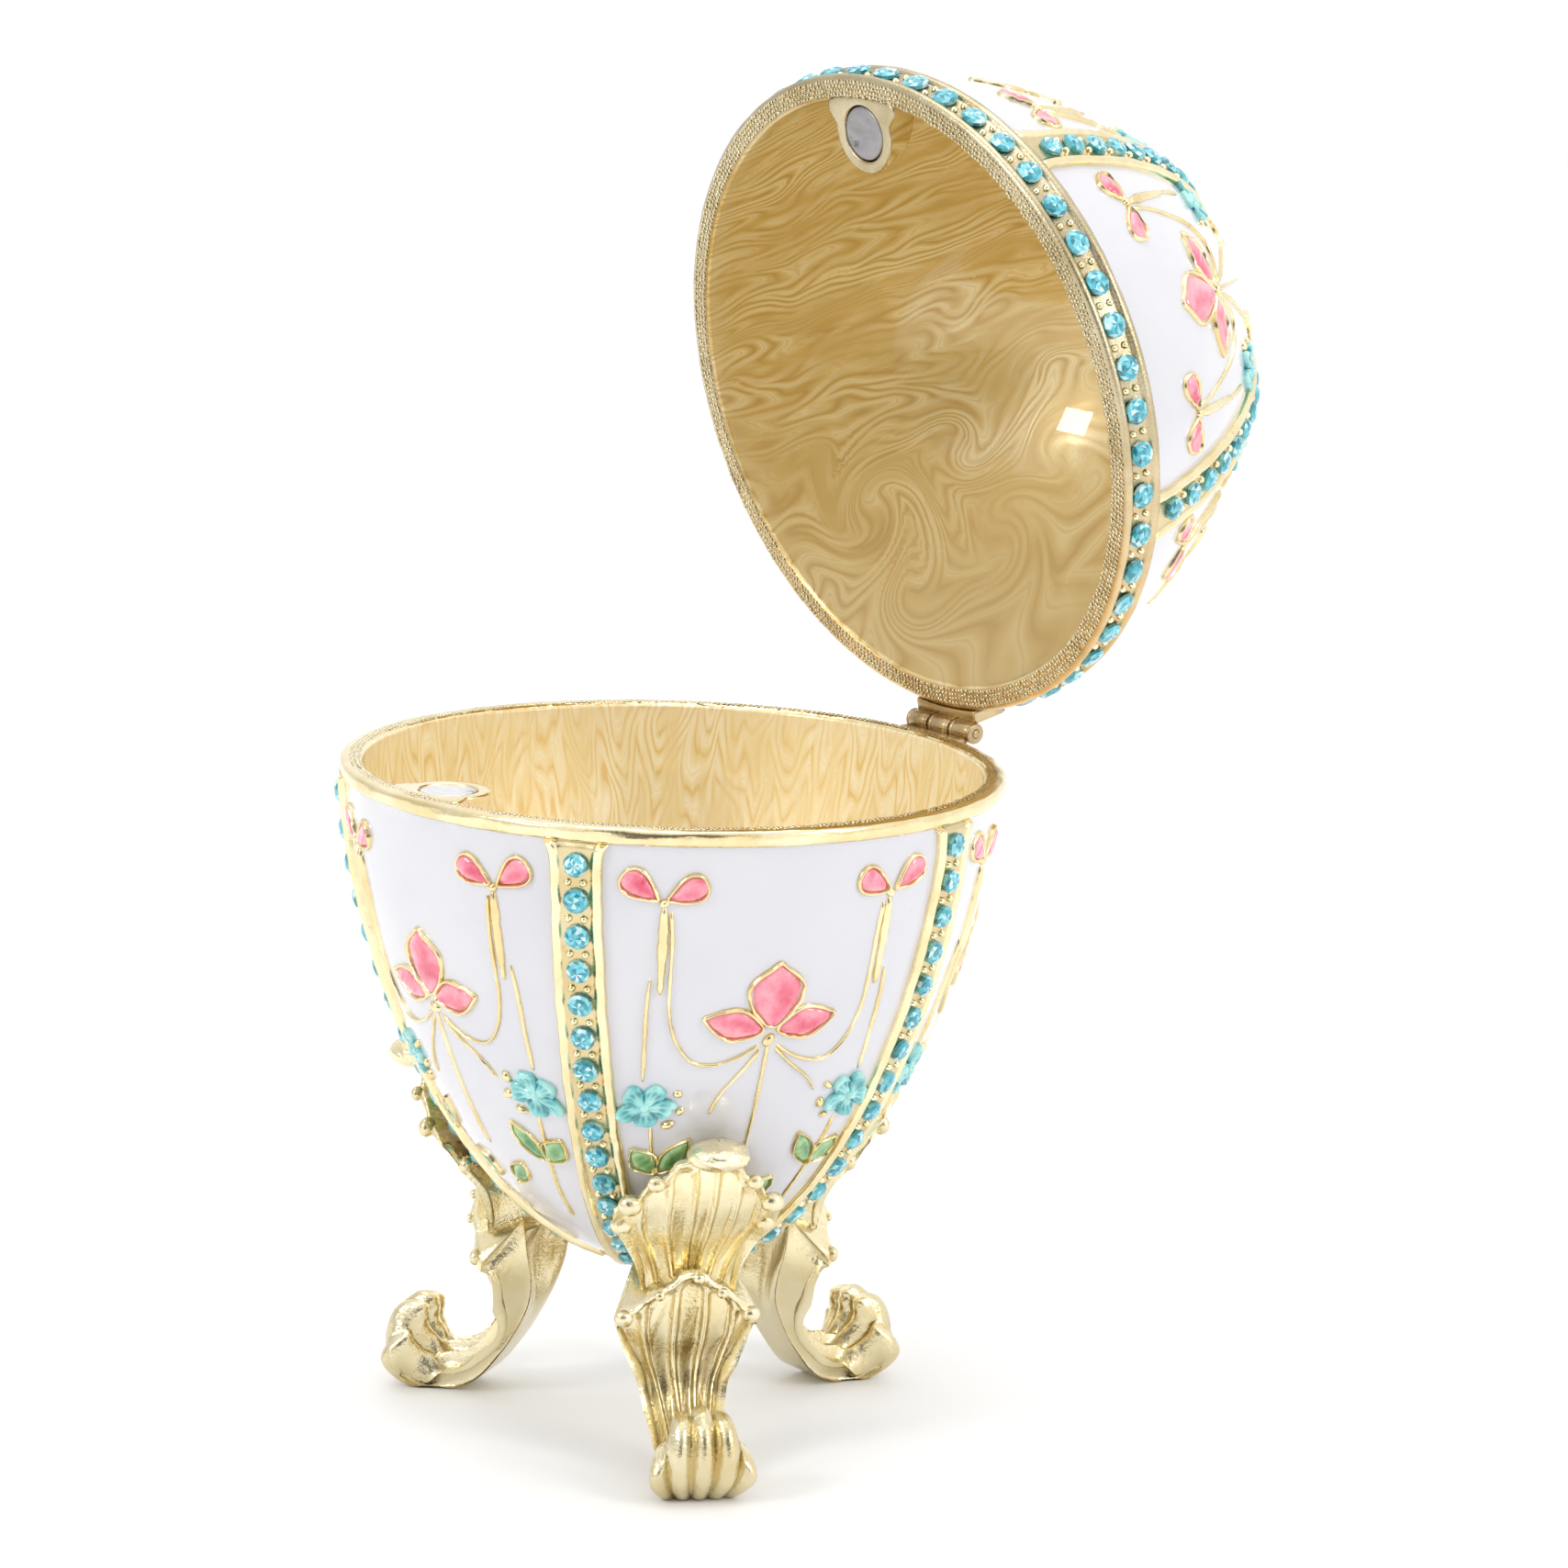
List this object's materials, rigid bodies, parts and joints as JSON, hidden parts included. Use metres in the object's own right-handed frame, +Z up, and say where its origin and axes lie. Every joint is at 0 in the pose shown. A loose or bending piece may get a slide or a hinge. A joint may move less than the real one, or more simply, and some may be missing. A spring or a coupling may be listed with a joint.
{
  "type": "jewelled egg trinket box",
  "caption": "Egg-shaped enamel trinket box with a hinged lid, floral panels, jewelled stripes and cast scroll legs.",
  "frame": {"origin": "middle of the footprint of the whole open box, on the surface that its feet stand on", "axes": "+Z up, -Y towards the front where the magnets are, +Y towards the hinge and the open lid"},
  "size_m": [0.0614, 0.0912, 0.1236],
  "materials": {
    "enamelled_casting": "glossy white enamel with gold-plated outlines and rims, and a pearly golden lining",
    "plated_gold": "polished pale gold plating with fine-grained sides",
    "blue_glass": "faceted teal-blue glass stones in gold beads",
    "aged_brass": "tarnished brass",
    "magnet_plating": "nickel-plated disc magnet, slightly worn"
  },
  "bodies": {
    "bowl": {"bowl": "enamelled_casting", "bowl_magnet": "magnet_plating", "bowl_stone_row_1": "blue_glass", "bowl_stone_row_2": "blue_glass", "bowl_stone_row_3": "blue_glass", "bowl_stone_row_4": "blue_glass", "bowl_stone_row_5": "blue_glass", "hinge_bowl_leaf": "aged_brass", "hinge_pin": "aged_brass", "leg_rear": "plated_gold", "leg_front_left": "plated_gold", "leg_front_right": "plated_gold"},
    "lid": {"lid": "enamelled_casting", "lid_magnet": "magnet_plating", "lid_rim_stones": "blue_glass", "lid_stone_row_1": "blue_glass", "lid_stone_row_2": "blue_glass", "lid_stone_row_3": "blue_glass", "lid_stone_row_4": "blue_glass", "lid_stone_row_5": "blue_glass", "hinge_lid_leaf": "aged_brass"}
  },
  "joints": [
    {"name": "lid_hinge", "type": "hinge", "parent": "bowl", "child": "lid", "pos_m": [0, 0.01664, 0.06165], "axis": [1, 0, 0], "range_deg": [0, 77]}
  ]
}
